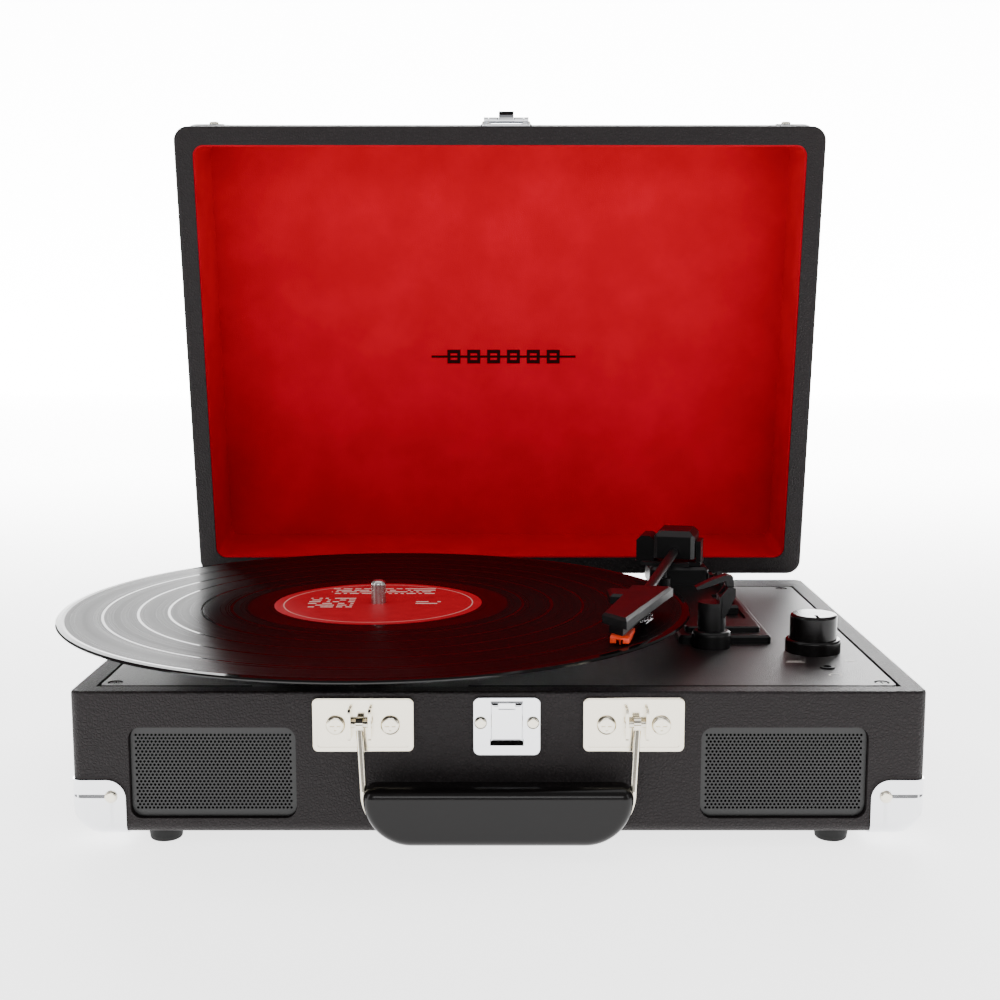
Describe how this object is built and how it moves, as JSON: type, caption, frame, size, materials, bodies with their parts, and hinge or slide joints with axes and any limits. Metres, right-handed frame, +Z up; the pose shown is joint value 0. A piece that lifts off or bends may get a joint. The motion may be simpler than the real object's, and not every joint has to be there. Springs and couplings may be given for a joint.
{
  "type": "turntable_record_player",
  "caption": "Suitcase record player with a red-lined lid, belt-driven platter holding a record, tonearm, front speakers and a carrying handle.",
  "frame": {"origin": "middle of the case's underside; the feet stand 6 mm below it", "axes": "+X to the user's right, +Y towards the hinges at the back, +Z up"},
  "size_m": [0.3895, 0.3582, 0.3329],
  "materials": {
    "leatherette": "grained black covering on a wooden case",
    "lining": "red flocked lining",
    "deck": "fine leather-grain black deck",
    "black_plastic": "fine satin texture",
    "gloss_black": "polished black",
    "nickel": "bright nickel plate",
    "chrome": "bright chrome plate",
    "steel": "bare steel",
    "rubber": "moulded rubber",
    "vinyl": "pressed black vinyl with fine grooves",
    "label": "printed red paper",
    "felt": "black felt",
    "orange_plastic": "orange-red moulding",
    "grille_metal": "perforated black sheet",
    "paper_cone": "pressed paper cone",
    "circuit_board": "lacquered board",
    "socket_plastic": "moulded sockets"
  },
  "bodies": {
    "base": {"base_case": "leatherette", "deck_plate": "deck", "deck_screws": "steel", "speaker_grilles": "grille_metal", "speaker_frames": "steel", "speaker_cones": "paper_cone", "base_corner_guards": "chrome", "case_rivets": "nickel", "rubber_feet": "rubber", "foot_screws": "steel", "handle_plates": "nickel", "handle_plate_screws": "nickel", "handle_pins": "nickel", "latch_catch_plate": "chrome", "hinge_base_leaves": "nickel", "hinge_pins": "steel", "rear_screws": "nickel", "spindle": "steel", "motor_body": "steel", "drive_belt": "rubber", "tonearm_base_plate": "black_plastic", "tonearm_pillar": "black_plastic", "arm_rest_post": "black_plastic", "headphone_jack": "socket_plastic", "volume_pot": "steel", "amplifier_board": "circuit_board", "board_components": "black_plastic", "rear_panel": "black_plastic", "rca_jacks": "nickel", "dc_jack": "socket_plastic"},
    "lid": {"lid_shell": "leatherette", "lid_lining": "lining", "lid_corner_guards": "chrome", "lid_rivets": "nickel", "lid_latch_plate": "chrome", "hasp_pin": "steel", "hinge_lid_leaves": "nickel", "hinge_lid_screws": "nickel"},
    "hasp": {"latch_hasp": "chrome"},
    "catch": {"catch_button": "chrome"},
    "handle": {"handle_bail": "nickel", "handle_grip": "gloss_black"},
    "platter": {"platter": "black_plastic", "slip_mat": "felt", "record_disc": "vinyl", "record_labels": "label"},
    "pulley": {"motor_pulley": "black_plastic"},
    "turret": {"tonearm_turret": "black_plastic", "tonearm_axle": "steel"},
    "arm": {"tonearm_tube": "black_plastic", "arm_housing": "black_plastic", "headshell": "black_plastic", "cartridge": "black_plastic", "stylus_guard": "orange_plastic"},
    "rest_clip": {"arm_clip": "black_plastic"},
    "lever": {"cue_lever": "black_plastic"},
    "lifter": {"lift_bar": "black_plastic"},
    "knob": {"volume_knob": "gloss_black"},
    "speed": {"speed_slider": "black_plastic"},
    "autostop": {"autostop_slider": "black_plastic"}
  },
  "joints": [
    {"name": "lid_hinge", "type": "hinge", "parent": "base", "child": "lid", "pos_m": [0, 0.1315, 0.0618], "axis": [1, 0, 0], "range_deg": [0, 58]},
    {"name": "hasp_hinge", "type": "hinge", "parent": "lid", "child": "hasp", "pos_m": [0.0035, 0.10076, 0.32363], "axis": [-1, 0, 0], "range_deg": [0, 90]},
    {"name": "catch_slide", "type": "slide", "parent": "base", "child": "catch", "axis": [0, 0, -1], "range_m": [0, 0.0021], "stiffness_N_per_m": 200, "springref_m": -0.002},
    {"name": "handle_swing", "type": "hinge", "parent": "base", "child": "handle", "pos_m": [0, -0.1337, 0.0488], "axis": [-1, 0, 0], "range_deg": [0, 95]},
    {"name": "platter_spin", "type": "hinge", "parent": "base", "child": "platter", "pos_m": [-0.0585, -0.0273, 0.0752], "axis": [0, 0, 1], "continuous": true},
    {"name": "pulley_spin", "type": "hinge", "parent": "base", "child": "pulley", "pos_m": [-0.1179, 0.0321, 0.068], "axis": [0, 0, 1], "continuous": true},
    {"name": "tonearm_swing", "type": "hinge", "parent": "base", "child": "turret", "pos_m": [0.1, 0.09, 0.0783], "axis": [0, 0, 1], "range_deg": [-24, 13.22]},
    {"name": "tonearm_lift", "type": "hinge", "parent": "turret", "child": "arm", "pos_m": [0.1, 0.09, 0.0865], "axis": [-0.9735, 0.2286, 0], "range_deg": [0, 6]},
    {"name": "cue_turn", "type": "hinge", "parent": "base", "child": "lever", "pos_m": [0.1208, 0.078, 0.0715], "axis": [-1, 0, 0], "range_deg": [0, 60]},
    {"name": "lifter_slide", "type": "slide", "parent": "base", "child": "lifter", "axis": [0, 0, 1], "range_m": [0, 0.00325]},
    {"name": "clip_hinge", "type": "hinge", "parent": "base", "child": "rest_clip", "pos_m": [0.1089, -0.0455, 0.08876], "axis": [0, 1, 0], "range_deg": [0, 110]},
    {"name": "knob_turn", "type": "hinge", "parent": "base", "child": "knob", "pos_m": [0.1463, -0.0563, 0.07], "axis": [0, 0, -1], "range_deg": [0, 300]},
    {"name": "speed_slide", "type": "slide", "parent": "base", "child": "speed", "axis": [0, 1, 0], "range_m": [-0.005, 0.005]},
    {"name": "autostop_slide", "type": "slide", "parent": "base", "child": "autostop", "axis": [0, 1, 0], "range_m": [0, 0.006]}
  ],
  "couplings": [
    {"joint": "pulley_spin", "follows": "platter_spin", "ratio": 11.44},
    {"joint": "cue_turn", "follows": "tonearm_lift", "ratio": 10},
    {"joint": "lifter_slide", "follows": "tonearm_lift", "m_per_rad": 0.031}
  ]
}
